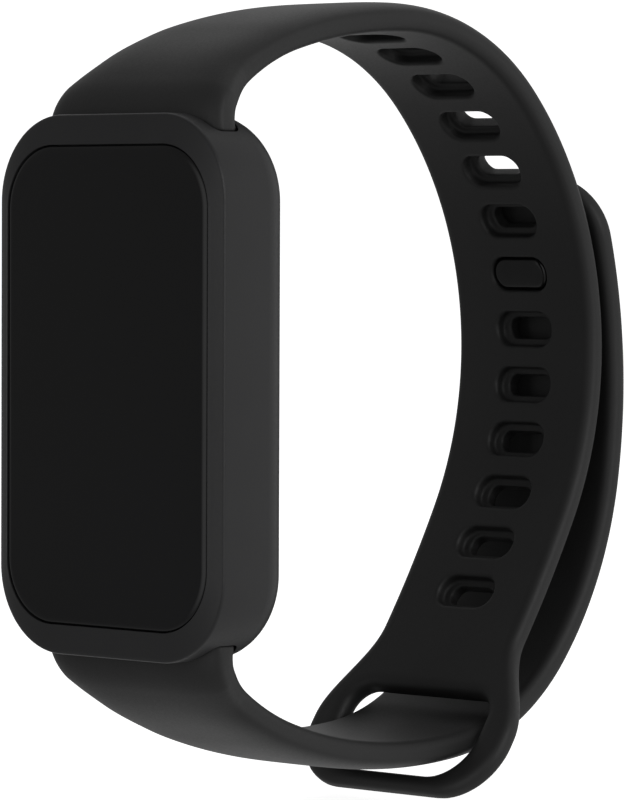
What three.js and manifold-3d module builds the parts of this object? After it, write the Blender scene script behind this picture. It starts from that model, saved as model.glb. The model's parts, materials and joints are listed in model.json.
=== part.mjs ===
// Fitness tracker band: a slim rounded case with a glass front, two moulded straps, and a closed loop
// that the lower strap passes through before its stud snaps into a hole.
// Units are millimetres. +X runs across the band, +Y from the screen to the back of the ring, +Z up.
// Everything is first placed from the middle of the glass face, then the whole band is moved so that
// the origin is at the middle of its footprint, level with its lowest point.

import * as THREE from "three";
import { mergeVertices } from "three/addons/utils/BufferGeometryUtils.js";
import Module from "manifold-3d";

const wasm = await Module();
wasm.setup();

// ---------------------------------------------------------------- driving dimensions

const CASE = { halfWidth: 12.7, halfHeight: 21.4, corner: 6.9, rearRadius: 3, rearY: 8.4 };
const SPLIT_Y = 7.5; // parting plane between the housing and the back cover
const LIP = { width: 0.05, y: 0.06 }; // the housing's front edge round the glass
const RIM = { y: 0.5, halfWidth: 12.5, halfHeight: 21.25, corner: 6.7, roundY: 0.8 };
const GLASS = { halfWidth: 11.27, halfHeight: 18.9, corner: 5, thickness: 0.7, edge: 0.22 };
const GLASS_GAP = 0.08;
const RECESS_Y = 0.95; // ledge that the glass adhesive sits on
const ADHESIVE_INSET = 0.15;
const PANEL_OPENING = { halfWidth: 10.3, halfHeight: 17.2, corner: 3.4 };
const CAVITY = { halfWidth: 10.8, halfHeight: 16.3, corner: 4.8, frontY: 1.75 };
const GASKET = { width: 0.4, frontY: 7.0 };

const POCKET = { halfWidth: 10.05, frontY: 2.1, rearY: 5.2, floorZ: 17.2 };
const POCKET_MOUTH = { rearY: 5.6, fromZ: 20.3 }; // wider behind the strap, where the strap bends away
const TONGUE = { halfWidth: 9.7, frontY: 2.4, rearY: 5.0, startZ: 17.35, endZ: 19.75 };
const TONGUE_CORE = { halfWidth: 7.4, frontY: 3.1, rearY: 4.1, endZ: 21.5 };
const BUTTON = { halfWidth: 2.1, halfHeight: 0.75, z: 18.4, frontY: 4.98, rearY: 8.2, gap: 0.1 };
const CLIP = { halfWidth: 1.9, leaf: 0.2, y: 4.72, startZ: 17.7, barbZ: 19.3, barbY: 5.5 };
const BARB_GROOVE = { side: 0.2, deep: 0.15, halfHeight: 0.35 };
const CLIP_WELL = { side: 0.3, frontY: 3.7, end: 0.2 };

const BUMP = { halfWidth: 8.2, halfHeight: 11, corner: 7, rearY: 9.9 };
const BUMP_CROWN = [[0, -1.8], [0, -1.1], [0.3, -0.65], [0.9, -0.25], [2.2, 0]]; // inset, height
const BUMP_HOLLOW = { inset: 2.3, roof: 0.45 };
const WINDOW = { halfWidth: 5, halfHeight: 7, corner: 4.2, frontY: 9.2, rearY: 9.85, ledge: 0.6 };
const CONTACT = { x: 2.6, z: -14.2, headRadius: 1.25, stemRadius: 0.7, headY: 8.02, rearY: 8.45 };

const STRAP = { wide: 9.85, narrow: 7.7, neckLength: 5.5, taperLength: 18, neckShare: 0.7 };
const STRAP_START_Y = 5.15; // the inner face of both straps where they enter the case
const STRAP_START_Z = 19.85;
const THICK = { base: 3, root: 2.5, back: 2.15 };
const ROOT_SPAN = { from: 3, to: 10 }; // stations between which the strap thins from base to root
const BACK_SPAN = { from: 35, to: 60 }; // and from root to back

const HOLE = { count: 13, first: 28.3, pitch: 4.72, studHole: 7 };
const COUNTERBORE = { halfWidth: 3.05, halfHeight: 1.44, corner: 1.35, depth: 1 };
const SLOT = { halfWidth: 2.35, halfHeight: 0.87, corner: 0.82 };
const STUD_HEAD = { halfWidth: 2.88, halfHeight: 1.27, corner: 1.18, from: 0.14, to: 0.94, crown: 0.2 };
const STUD_NECK = { halfWidth: 2.1, halfHeight: 0.72, corner: 0.66 };
const STUD_FLANGE = { halfWidth: 3.1, halfHeight: 1.8, corner: 1.5, from: 3.05, to: 3.6 };
const STUD_FIT = 0.06;

const LOOP = { halfWidth: 11.1, length: 15.6, corner: 5.4, flareFrom: 0.5, flareLength: 9 };
const LOOP_OPENING = { halfWidth: 8, from: 6.2, to: 14, topCorner: 2.1, bottomCorner: 4 };

const TAIL_START = 61; // station where the tail begins to bend away from the ring
const TAIL_GAP = 0.3;
const TAIL_TIP = 5; // length over which the tail's end rounds off
const PITCH = 3; // greatest distance between two sections of a strap
const BEND_STEP = 0.24; // and greatest turn between them, in radians

const MOTOR = { x: -5.7, z: 11.3, radius: 3.75, frontY: 3.15, baseY: 5.75, shaftRadius: 0.35 };
const MOTOR_SHELL = { wall: 0.2, base: 0.2, shaftEnd: 0.03 };
const ROTOR = { side: 0.5, front: 0.5, rear: 0.7, hubRadius: 1.1, shy: 0.1 };

const FIT = 0.05; // running gap between pieces that lie against each other
const SLIP = 0.02; // gap between thin layers stacked on each other
const OVERLAP = 0.1; // how far two shapes run into each other where they are joined
const CUT = 1; // how far a cutter reaches past the face it opens
const THROUGH = 4; // height above a strap's inner face that clears its outer face

// ---------------------------------------------------------------- materials

const matte = (color, roughness = 0.6, metalness = 0) =>
  new THREE.MeshStandardMaterial({ color, roughness, metalness });
const paint = {
  shell: matte(0x1c1c1e, 0.55),
  strap: matte(0x161617, 0.7),
  glass: matte(0x050506, 0.08),
  gloss: matte(0x0a0a0b, 0.25),
  clear: matte(0x101214, 0.1),
  frame: matte(0x2b2b2e, 0.6),
  seal: matte(0x0c0c0c, 0.9),
  board: matte(0x0f3d24, 0.5),
  chip: matte(0x111111, 0.4),
  foil: matte(0xb9bcc0, 0.35, 0.8),
  steel: matte(0xa9adb2, 0.3, 0.9),
  gold: matte(0xc9a24a, 0.3, 0.9),
  film: matte(0xa8671f, 0.5),
  light: matte(0xdfe4e6, 0.4),
  green: matte(0x2f8f4a, 0.3),
};

// ---------------------------------------------------------------- solids

// A closed mesh as a solid that can be cut and joined.
function toSolid(geometry, matrix = new THREE.Matrix4()) {
  const bare = geometry.clone().applyMatrix4(matrix);
  for (const name of ["normal", "uv"]) {
    bare.deleteAttribute(name);
  }
  const merged = mergeVertices(bare, 1e-4);
  const vertProperties = merged.attributes.position.array;
  const triVerts = new Uint32Array(merged.index.array);
  return new wasm.Manifold(new wasm.Mesh({ numProp: 3, vertProperties, triVerts }));
}

function toGeometry(solid) {
  const mesh = solid.getMesh();
  const geometry = new THREE.BufferGeometry();
  geometry.setAttribute("position", new THREE.BufferAttribute(mesh.vertProperties, 3));
  geometry.setIndex(new THREE.BufferAttribute(mesh.triVerts, 1));
  const faceted = geometry.toNonIndexed();
  faceted.computeVertexNormals();
  return faceted;
}

const band = new THREE.Group();

function addNode(name, solid, material) {
  const mesh = new THREE.Mesh(toGeometry(solid), material);
  mesh.name = name;
  band.add(mesh);
  return mesh;
}

// The corner points of a rounded rectangle, counterclockwise, with `steps` chords in each corner.
function roundedPoints(halfWidth, halfHeight, corner, steps = 4) {
  const points = [];
  for (let quarter = 0; quarter < 4; quarter += 1) {
    const signX = quarter === 0 || quarter === 3 ? 1 : -1;
    const signY = quarter < 2 ? 1 : -1;
    for (let step = 0; step <= steps; step += 1) {
      const angle = ((quarter + step / steps) * Math.PI) / 2;
      const x = signX * (halfWidth - corner) + corner * Math.cos(angle);
      const y = signY * (halfHeight - corner) + corner * Math.sin(angle);
      points.push(new THREE.Vector2(x, y));
    }
  }
  return points;
}

const roundedShape = (size, steps) =>
  new THREE.Shape(roundedPoints(size.halfWidth, size.halfHeight, size.corner, steps));

const grown = (size, by) => ({
  halfWidth: size.halfWidth + by,
  halfHeight: size.halfHeight + by,
  corner: Math.max(size.corner + by, 0.1),
});

// An outline drawn in X and Z, swept along Y from frontY to rearY.
function slab(shape, frontY, rearY, x = 0, z = 0) {
  const geometry = new THREE.ExtrudeGeometry(shape, { depth: rearY - frontY, bevelEnabled: false });
  geometry.rotateX(Math.PI / 2);
  geometry.translate(x, rearY, z);
  return toSolid(geometry);
}

const plate = (size, frontY, rearY, x = 0, z = 0, steps = 4) =>
  slab(roundedShape(size, steps), frontY, rearY, x, z);

function block(x0, x1, y0, y1, z0, z1) {
  const geometry = new THREE.BoxGeometry(x1 - x0, y1 - y0, z1 - z0);
  geometry.translate((x0 + x1) / 2, (y0 + y1) / 2, (z0 + z1) / 2);
  return toSolid(geometry);
}

// A turned piece on an axis along Y; profile points are [radius, y] from front to rear.
function turned(profile, x, z, segments = 20) {
  const points = profile.map(([radius, y]) => new THREE.Vector2(radius, y));
  const geometry = new THREE.LatheGeometry(points, segments);
  geometry.translate(x, 0, z);
  return toSolid(geometry);
}

const disc = (radius, frontY, rearY, x, z, segments) =>
  turned([[0, frontY], [radius, frontY], [radius, rearY], [0, rearY]], x, z, segments);

// A body lofted through rounded rectangles that share their corner directions.
function loft(levels, steps = 6) {
  const first = levels[0];
  const shape = roundedShape(first, steps);
  const options = { depth: levels.length - 1, steps: levels.length - 1, bevelEnabled: false };
  const geometry = new THREE.ExtrudeGeometry(shape, options);
  const position = geometry.attributes.position;
  for (let i = 0; i < position.count; i += 1) {
    const x = position.getX(i);
    const z = position.getY(i);
    const level = levels[Math.round(position.getZ(i))];
    const signX = Math.sign(x);
    const signZ = Math.sign(z);
    const towardX = (x - signX * (first.halfWidth - first.corner)) / first.corner;
    const towardZ = (z - signZ * (first.halfHeight - first.corner)) / first.corner;
    const newX = signX * (level.halfWidth - level.corner) + level.corner * towardX;
    const newZ = signZ * (level.halfHeight - level.corner) + level.corner * towardZ;
    position.setXYZ(i, -newX, level.y, newZ);
  }
  return toSolid(geometry);
}

const inset = (size, by, y) => ({ ...grown(size, -by), y });

// ---------------------------------------------------------------- strap paths

// A chain of tangent stretches in the YZ plane. turn is -1 where the chain curves towards the back
// over the top of the ring and +1 where it curves underneath. Stations are lengths along the chain.
function makePath(y, z, headingDegrees, turn, stretches) {
  const parts = [];
  let at = { y, z, heading: THREE.MathUtils.degToRad(headingDegrees), s: 0 };
  for (const { length, radius, sweep } of stretches) {
    const angle = sweep ? THREE.MathUtils.degToRad(sweep) : 0;
    const run = sweep ? radius * angle : length;
    const part = { ...at, run, curve: sweep ? turn / radius : 0 };
    parts.push(part);
    at = along(part, run);
  }
  const end = at.s;
  const locate = (s) => {
    const part = parts.findLast((candidate) => candidate.s <= s + 1e-9) ?? parts[0];
    return along(part, s - part.s);
  };
  return { parts, end, turn, locate };
}

function along(part, run) {
  const heading = part.heading + part.curve * run;
  const straight = Math.abs(part.curve) < 1e-9;
  const y = straight
    ? part.y + run * Math.cos(part.heading)
    : part.y + (Math.sin(heading) - Math.sin(part.heading)) / part.curve;
  const z = straight
    ? part.z + run * Math.sin(part.heading)
    : part.z - (Math.cos(heading) - Math.cos(part.heading)) / part.curve;
  return { y, z, heading, s: part.s + run };
}

// A point at a station: x across the strap, `out` away from the wearer's wrist.
function pathPoint(path, s, x, out) {
  const at = path.locate(s);
  const outY = path.turn * Math.sin(at.heading);
  const outZ = -path.turn * Math.cos(at.heading);
  return new THREE.Vector3(path.turn * x, at.y + out * outY, at.z + out * outZ);
}

// A placing matrix at a station: X across the strap, Y along it, Z outward.
function stationMatrix(path, s) {
  const origin = pathPoint(path, s, 0, 0);
  const at = path.locate(s);
  const across = new THREE.Vector3(-path.turn, 0, 0);
  const forward = new THREE.Vector3(0, Math.cos(at.heading), Math.sin(at.heading));
  const outward = pathPoint(path, s, 0, 1).sub(origin);
  return new THREE.Matrix4().makeBasis(across, forward, outward).setPosition(origin);
}

// Stations close enough together to follow the bends, always with one at each change of radius.
function stations(path, from, to, pitch, extra = []) {
  const marks = [from, to, ...extra, ...path.parts.map((part) => part.s)];
  const inside = marks.filter((s) => s >= from && s <= to).sort((a, b) => a - b);
  const list = [from];
  for (const mark of inside) {
    const last = list[list.length - 1];
    const gap = mark - last;
    if (gap < 1e-6) {
      continue;
    }
    const curve = Math.abs(path.locate(last + gap / 2).heading - path.locate(last).heading) * 2;
    const count = Math.max(1, Math.ceil(gap / pitch), Math.ceil(curve / BEND_STEP));
    for (let i = 1; i <= count; i += 1) {
      list.push(last + (gap * i) / count);
    }
  }
  return list;
}

// The strap's section for a half width of 1 and a thickness of 1: flat inside, crowned outside.
function strapSection() {
  const round = 0.12;
  const innerSide = 0.34;
  const outerSide = 0.56;
  const crownPower = 0.45;
  const half = [];
  for (let i = 0; i <= 2; i += 1) {
    const angle = (i / 2) * (Math.PI / 2);
    half.push([1 - round + round * Math.sin(angle), innerSide * (1 - Math.cos(angle))]);
  }
  const crownSteps = 4;
  for (let i = 0; i < crownSteps; i += 1) {
    const angle = (i / crownSteps) * (Math.PI / 2);
    half.push([Math.cos(angle) ** crownPower, outerSide + (1 - outerSide) * Math.sin(angle)]);
  }
  const mirrored = half.slice().reverse().map(([x, n]) => [-x, n]);
  const points = [...half, [0, 1], ...mirrored];
  return new THREE.Shape(points.map(([x, n]) => new THREE.Vector2(x, n)));
}

const smooth = (t) => {
  const clamped = Math.min(Math.max(t, 0), 1);
  return clamped * clamped * (3 - 2 * clamped);
};

// Half width: a short neck just outside the case, then a long gentle taper.
function taper(s) {
  const neck = STRAP.neckShare * (1 - smooth(s / STRAP.neckLength));
  const gentle = (1 - STRAP.neckShare) * (1 - smooth(s / STRAP.taperLength));
  return STRAP.narrow + (STRAP.wide - STRAP.narrow) * (neck + gentle);
}

const shareAlong = (s, span) => smooth((s - span.from) / (span.to - span.from));
const thickness = (s) =>
  THICK.base +
  (THICK.root - THICK.base) * shareAlong(s, ROOT_SPAN) +
  (THICK.back - THICK.root) * shareAlong(s, BACK_SPAN);

// The straight extruded section, bent onto its path and drawn in or out to its width there.
function bentStrap(path, from, to, halfWidth, thick, extra) {
  const list = stations(path, from, to, PITCH, extra);
  const options = { depth: list.length - 1, steps: list.length - 1, bevelEnabled: false };
  const geometry = new THREE.ExtrudeGeometry(strapSection(), options);
  const position = geometry.attributes.position;
  for (let i = 0; i < position.count; i += 1) {
    const s = list[Math.round(position.getZ(i))];
    const x = position.getX(i) * halfWidth(s);
    const out = position.getY(i) * thick(s);
    const point = pathPoint(path, s, x, out);
    position.setXYZ(i, point.x, point.y, point.z);
  }
  return toSolid(geometry);
}

// A prism standing on the strap at a station, from `inner` to `outer` along its outward side.
function standing(path, s, shape, inner, outer) {
  const options = { depth: outer - inner, bevelEnabled: false };
  const geometry = new THREE.ExtrudeGeometry(shape, options);
  geometry.translate(0, 0, inner);
  return toSolid(geometry, stationMatrix(path, s));
}

const onStrap = (path, s, size, inner, outer) =>
  standing(path, s, roundedShape(size, 3), inner, outer);

// ---------------------------------------------------------------- case

const rearLevel = (degrees) => {
  const angle = THREE.MathUtils.degToRad(degrees);
  const y = CASE.rearY - CASE.rearRadius + CASE.rearRadius * Math.sin(angle);
  return inset(CASE, CASE.rearRadius * (1 - Math.cos(angle)), y);
};
const rearAngle = (y) => {
  const rise = (y - (CASE.rearY - CASE.rearRadius)) / CASE.rearRadius;
  return THREE.MathUtils.radToDeg(Math.asin(rise));
};

function pocketCut(end) {
  const { halfWidth, frontY, rearY, floorZ } = POCKET;
  const mouthZ = CASE.halfHeight + CUT;
  const low = end > 0 ? floorZ : -mouthZ;
  const high = end > 0 ? mouthZ : -floorZ;
  const { rearY: mouthRearY, fromZ } = POCKET_MOUTH;
  const mouthLow = end > 0 ? fromZ : -mouthZ;
  const mouthHigh = end > 0 ? mouthZ : -fromZ;
  const mouth = block(-halfWidth, halfWidth, frontY, mouthRearY, mouthLow, mouthHigh);
  return block(-halfWidth, halfWidth, frontY, rearY, low, high).add(mouth);
}

function buttonCut(end, frontY, rearY) {
  const size = { ...BUTTON, corner: BUTTON.halfHeight };
  return plate({ ...grown(size, size.gap), corner: size.corner }, frontY, rearY, 0, end * BUTTON.z);
}

// The groove in the pocket's rear wall that the strap clip's barb hooks into.
function barbGroove(end) {
  const { side, deep, halfHeight } = BARB_GROOVE;
  const low = end * CLIP.barbZ - halfHeight;
  const reach = CLIP.halfWidth + side;
  const bottomY = CLIP.barbY + deep;
  return block(-reach, reach, POCKET.rearY - CUT, bottomY, low, low + 2 * halfHeight);
}

const gasketSize = grown(CAVITY, GASKET.width);

function caseHousing() {
  const recess = grown(GLASS, GLASS_GAP);
  let body = loft([
    inset(recess, -LIP.width, LIP.y),
    { ...RIM, y: RIM.y - LIP.y },
    inset(CASE, 0, RIM.roundY),
    rearLevel(0),
    rearLevel(18),
    rearLevel(32),
    rearLevel(rearAngle(SPLIT_Y)),
  ]);
  body = body.subtract(plate(recess, -CUT, RECESS_Y, 0, 0, 6));
  body = body.subtract(plate(PANEL_OPENING, -CUT, CAVITY.frontY + OVERLAP));
  body = body.subtract(plate(CAVITY, CAVITY.frontY, SPLIT_Y + CUT));
  body = body.subtract(plate(gasketSize, GASKET.frontY, SPLIT_Y + CUT));
  for (const end of [1, -1]) {
    body = body.subtract(pocketCut(end));
    body = body.subtract(buttonCut(end, POCKET.rearY - CUT, SPLIT_Y + CUT));
    body = body.subtract(barbGroove(end));
  }
  return body;
}

function backCover() {
  const flatY = CASE.rearY;
  let body = loft([
    rearLevel(rearAngle(SPLIT_Y + SLIP)),
    rearLevel(60),
    rearLevel(75),
    inset(CASE, CASE.rearRadius, flatY),
  ]);
  body = body.add(loft(BUMP_CROWN.map(([by, height]) => inset(BUMP, by, BUMP.rearY + height))));
  const hollow = grown(BUMP, -BUMP_HOLLOW.inset);
  body = body.subtract(plate(hollow, SPLIT_Y - CUT, WINDOW.frontY - BUMP_HOLLOW.roof));
  body = body.subtract(plate(grown(WINDOW, -WINDOW.ledge), SPLIT_Y, BUMP.rearY + CUT));
  const seat = grown(WINDOW, FIT);
  body = body.subtract(plate(seat, WINDOW.frontY - SLIP, BUMP.rearY + CUT, 0, 0, 5));
  for (const side of [1, -1]) {
    const x = side * CONTACT.x;
    const { z, headY } = CONTACT;
    body = body.subtract(disc(CONTACT.stemRadius + FIT, SPLIT_Y - CUT, flatY, x, z));
    body = body.subtract(disc(CONTACT.headRadius + FIT, headY - FIT, flatY + CUT, x, z));
    body = body.subtract(buttonCut(side, SPLIT_Y - CUT, flatY + CUT));
  }
  return body;
}

function coverGlass() {
  const { thickness: thick, edge } = GLASS;
  const halfRound = edge * (1 - Math.SQRT1_2);
  return loft([
    inset(GLASS, edge, 0),
    inset(GLASS, halfRound, halfRound),
    inset(GLASS, 0, edge),
    inset(GLASS, 0, thick),
  ], 5);
}

const ring = (outer, inner, frontY, rearY) =>
  plate(outer, frontY, rearY).subtract(plate(inner, frontY - CUT, rearY + CUT));

function addCase() {
  addNode("case_housing", caseHousing(), paint.shell);
  addNode("back_cover", backCover(), paint.shell);
  addNode("cover_glass", coverGlass(), paint.glass);
  const adhesiveOuter = grown(GLASS, -ADHESIVE_INSET);
  const adhesiveInner = grown(PANEL_OPENING, FIT);
  const frontY = GLASS.thickness + SLIP;
  addNode("glass_adhesive", ring(adhesiveOuter, adhesiveInner, frontY, RECESS_Y - SLIP), paint.seal);
  const gasketInner = grown(CAVITY, FIT);
  const gasket = ring(grown(gasketSize, -FIT), gasketInner, GASKET.frontY + SLIP, SPLIT_Y);
  addNode("back_gasket", gasket, paint.seal);
}

// ---------------------------------------------------------------- display

const DISPLAY = {
  panel: { halfWidth: 10, halfHeight: 16.9, corner: 3, frontY: 0.74, rearY: 1.62 },
  backlight: { halfWidth: 9.7, halfHeight: 16, corner: 3, frontY: 1.78, rearY: 2.24 },
};
const FLEX = { halfWidth: 2.4, thick: 0.12, frontY: 2.3, startZ: 10, bendZ: 15.72 };
const FLEX_END = { rearY: 6.2, z: 14.06 };

// A thin ribbon outline in the YZ plane, carried straight across X.
function ribbon(points, halfWidth) {
  const shape = new THREE.Shape(points.map(([y, z]) => new THREE.Vector2(y, z)));
  const geometry = new THREE.ExtrudeGeometry(shape, { depth: 2 * halfWidth, bevelEnabled: false });
  // The outline's axes become Y and Z, and the sweep runs along X.
  const matrix = new THREE.Matrix4().makeBasis(
    new THREE.Vector3(0, 1, 0),
    new THREE.Vector3(0, 0, 1),
    new THREE.Vector3(1, 0, 0),
  );
  return toSolid(geometry, matrix.setPosition(-halfWidth, 0, 0));
}

function displayFlex() {
  const { halfWidth, thick, frontY, startZ, bendZ } = FLEX;
  const { rearY, z: endZ } = FLEX_END;
  const outline = [
    [frontY, startZ],
    [frontY + thick, startZ],
    [frontY + thick, bendZ - thick],
    [rearY - thick, bendZ - thick],
    [rearY - thick, endZ],
    [rearY, endZ],
    [rearY, bendZ],
    [frontY, bendZ],
  ];
  return ribbon(outline, halfWidth);
}

function addDisplay() {
  const { panel, backlight } = DISPLAY;
  addNode("display_panel", plate(panel, panel.frontY, panel.rearY), paint.gloss);
  addNode("display_backlight", plate(backlight, backlight.frontY, backlight.rearY), paint.light);
  addNode("display_flex", displayFlex(), paint.film);
}

// ---------------------------------------------------------------- electronics

const FRAME = { halfWidth: 10.6, halfHeight: 16.1, corner: 4.6, frontY: 2.5, floorY: 3, rearY: 6.3 };
const FRAME_WALL = 0.9; // at the frame's two ends
const FLEX_NOTCH_GAP = 0.3;
const BATTERY = { halfWidth: 9.6, lowZ: -15, highZ: 5.3, frontY: 3.08, rearY: 6.4, corner: 0.8 };
const BAR = { lowZ: 5.6, highZ: 7.4 };
const FRAME_SIDE = 9.85;
const BOARD = { halfWidth: 10.5, halfHeight: 15.9, corner: 4.4, frontY: 6.7, rearY: 7.2 };
const BATTERY_FLEX = { halfWidth: 1.4, thick: 0.15, startY: 5, rearY: 6.42, lift: 0.04, reach: 0.4 };
const SCREW = { x: 8.6, z: 6.5, headRadius: 0.9, shankRadius: 0.45, headY: 7.45, tipY: 4.2 };
const SCREW_TIP = { length: 0.3, share: 0.6 };
const SCREW_SOCKET = { radius: 0.35, depth: 0.12 };
const SHIELD = { x0: 0.4, x1: 8.6, z0: 8, z1: 11.6, wall: 0.15, frontY: 5.3 };
const CHIPS = {
  processor_chip: { x: 2.9, z: 9.8, halfX: 1.75, halfZ: 1.45, height: 0.8 },
  memory_chip: { x: 6.6, z: 9.8, halfX: 1.4, halfZ: 1.4, height: 0.7 },
  motion_sensor_chip: { x: 7.4, z: 13.2, halfX: 1, halfZ: 1, height: 0.7 },
  display_connector: { x: 0, z: 13.1, halfX: 2.2, halfZ: 0.9, height: 0.95 },
};
const ANTENNA = { x0: 10.64, x1: 10.76, frontY: 3.2, rearY: 6.2, halfHeight: 11 };

function innerFrame() {
  const { halfHeight, frontY, floorY, rearY } = FRAME;
  const top = halfHeight - FRAME_WALL;
  let body = plate(FRAME, frontY, rearY);
  for (const [low, high] of [[-top, BAR.lowZ], [BAR.highZ, top]]) {
    body = body.subtract(block(-FRAME_SIDE, FRAME_SIDE, floorY, rearY + CUT, low, high));
  }
  const notch = FLEX.halfWidth + FLEX_NOTCH_GAP;
  const notchLow = top - OVERLAP;
  body = body.subtract(block(-notch, notch, frontY - CUT, rearY + CUT, notchLow, halfHeight + CUT));
  const { shankRadius, tipY, x, z } = SCREW;
  for (const side of [1, -1]) {
    const bottomY = tipY - SCREW_TIP.length;
    body = body.subtract(disc(shankRadius + SLIP, bottomY, rearY + CUT, side * x, z, 12));
  }
  return body;
}

function mainBoard() {
  const { frontY, rearY } = BOARD;
  let body = plate(BOARD, frontY, rearY);
  for (const side of [1, -1]) {
    const holeRadius = SCREW.shankRadius + 2 * FIT;
    body = body.subtract(disc(holeRadius, frontY - CUT, rearY + CUT, side * SCREW.x, SCREW.z, 12));
  }
  return body;
}

function boardScrew(side) {
  const { headRadius, shankRadius, headY, tipY } = SCREW;
  const underHead = BOARD.rearY + SLIP;
  const { radius, depth } = SCREW_SOCKET;
  const profile = [
    [0, tipY],
    [shankRadius * SCREW_TIP.share, tipY],
    [shankRadius, tipY + SCREW_TIP.length],
    [shankRadius, underHead],
    [headRadius, underHead],
    [headRadius, headY],
    [radius, headY],
    [radius, headY - depth],
    [0, headY - depth],
  ];
  return turned(profile, side * SCREW.x, SCREW.z, 12);
}

function boardShield() {
  const { x0, x1, z0, z1, wall, frontY } = SHIELD;
  const rearY = BOARD.frontY - SLIP;
  const can = block(x0, x1, frontY, rearY, z0, z1);
  return can.subtract(
    block(x0 + wall, x1 - wall, frontY + wall, rearY + CUT, z0 + wall, z1 - wall),
  );
}

// A chip soldered to the front of the main board.
function chip({ x, z, halfX, halfZ, height }) {
  const rearY = BOARD.frontY - SLIP;
  return block(x - halfX, x + halfX, rearY - height, rearY, z - halfZ, z + halfZ);
}

function batteryFlex() {
  const { halfWidth, thick, startY, rearY, lift, reach } = BATTERY_FLEX;
  const lowZ = BATTERY.highZ + lift;
  const highZ = BAR.highZ + reach;
  return ribbon([
    [startY, lowZ],
    [rearY + thick, lowZ],
    [rearY + thick, highZ],
    [rearY, highZ],
    [rearY, lowZ + thick],
    [startY, lowZ + thick],
  ], halfWidth);
}

function addElectronics() {
  addNode("inner_frame", innerFrame(), paint.frame);
  const { halfWidth, lowZ, highZ, frontY, rearY } = BATTERY;
  const cell = { halfWidth, halfHeight: (highZ - lowZ) / 2, corner: BATTERY.corner };
  addNode("battery_cell", plate(cell, frontY, rearY, 0, (highZ + lowZ) / 2, 2), paint.foil);
  addNode("battery_flex", batteryFlex(), paint.film);
  addNode("main_board", mainBoard(), paint.board);
  for (const [name, size] of Object.entries(CHIPS)) {
    addNode(name, chip(size), paint.chip);
  }
  addNode("board_shield", boardShield(), paint.steel);
  for (const [name, side] of [["left", -1], ["right", 1]]) {
    addNode("board_screw_" + name, boardScrew(side), paint.steel);
  }
  const { x0, x1, halfHeight } = ANTENNA;
  const antenna = block(x0, x1, ANTENNA.frontY, ANTENNA.rearY, -halfHeight, halfHeight);
  addNode("antenna_flex", antenna, paint.film);
}

// ---------------------------------------------------------------- vibration motor

function addMotor() {
  const { x, z, radius, frontY, baseY, shaftRadius } = MOTOR;
  const { wall, base: baseThick, shaftEnd } = MOTOR_SHELL;
  const openY = baseY - baseThick - SLIP;
  const cover = turned([
    [0, frontY],
    [radius, frontY],
    [radius, openY],
    [radius - wall, openY],
    [radius - wall, frontY + wall],
    [0, frontY + wall],
  ], x, z, 24);
  addNode("motor_cover", cover, paint.steel);
  const base = disc(radius - SLIP, baseY - baseThick, baseY, x, z, 24);
  addNode("motor_base", base, paint.board);
  const shaftRearY = baseY - baseThick - shaftEnd;
  const shaft = disc(shaftRadius, frontY + wall + shaftEnd, shaftRearY, x, z, 12);
  addNode("motor_shaft", shaft, paint.steel);
  addNode("motor_rotor", motorRotor(), paint.steel);
}

// The eccentric weight: a half disc with a hub round the shaft.
function motorRotor() {
  const { x, z, radius, frontY, baseY, shaftRadius } = MOTOR;
  const outer = radius - ROTOR.side;
  const low = frontY + ROTOR.front;
  const high = baseY - ROTOR.rear;
  const shape = new THREE.Shape();
  shape.absarc(0, 0, outer, ROTOR.shy, Math.PI - ROTOR.shy, false);
  shape.absarc(0, 0, ROTOR.hubRadius, Math.PI, 2 * Math.PI, false);
  shape.closePath();
  const points = shape.getPoints(10);
  const weight = slab(new THREE.Shape(points), low, high, x, z);
  return weight.subtract(disc(shaftRadius + FIT, low - CUT, high + CUT, x, z, 12));
}

// ---------------------------------------------------------------- sensor and charging contacts

const SENSOR_BOARD = { halfWidth: 4.2, halfHeight: 6.2, corner: 3.4, frontY: 7.9, rearY: 8.2 };
const SENSOR_PLUG = { halfWidth: 2, halfHeight: 1 };
const DIODE = { half: 1.3, height: 0.5, z: 3.6 };
const LED = { half: 0.9, height: 0.45 };
const BAFFLE = { inset: 0.1, rear: 0.06, cellHalfWidth: 1.6, cellHalfHeight: 1.5 };

function lightBaffle() {
  const { inset: by, rear, cellHalfWidth: halfX, cellHalfHeight: halfZ } = BAFFLE;
  const frontY = SENSOR_BOARD.rearY + SLIP;
  const rearY = WINDOW.frontY - rear;
  let body = plate(grown(SENSOR_BOARD, -by), frontY, rearY);
  for (const z of [-DIODE.z, 0, DIODE.z]) {
    body = body.subtract(block(-halfX, halfX, frontY - CUT, rearY + CUT, z - halfZ, z + halfZ));
  }
  return body;
}

function chargingContact(side) {
  const { headRadius, stemRadius, headY, rearY } = CONTACT;
  const tipY = BOARD.rearY + FIT;
  const chamfer = 0.1;
  const profile = [
    [0, tipY],
    [stemRadius, tipY],
    [stemRadius, headY],
    [headRadius, headY],
    [headRadius, rearY - chamfer],
    [headRadius - chamfer, rearY],
    [0, rearY],
  ];
  return turned(profile, side * CONTACT.x, CONTACT.z, 20);
}

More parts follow.
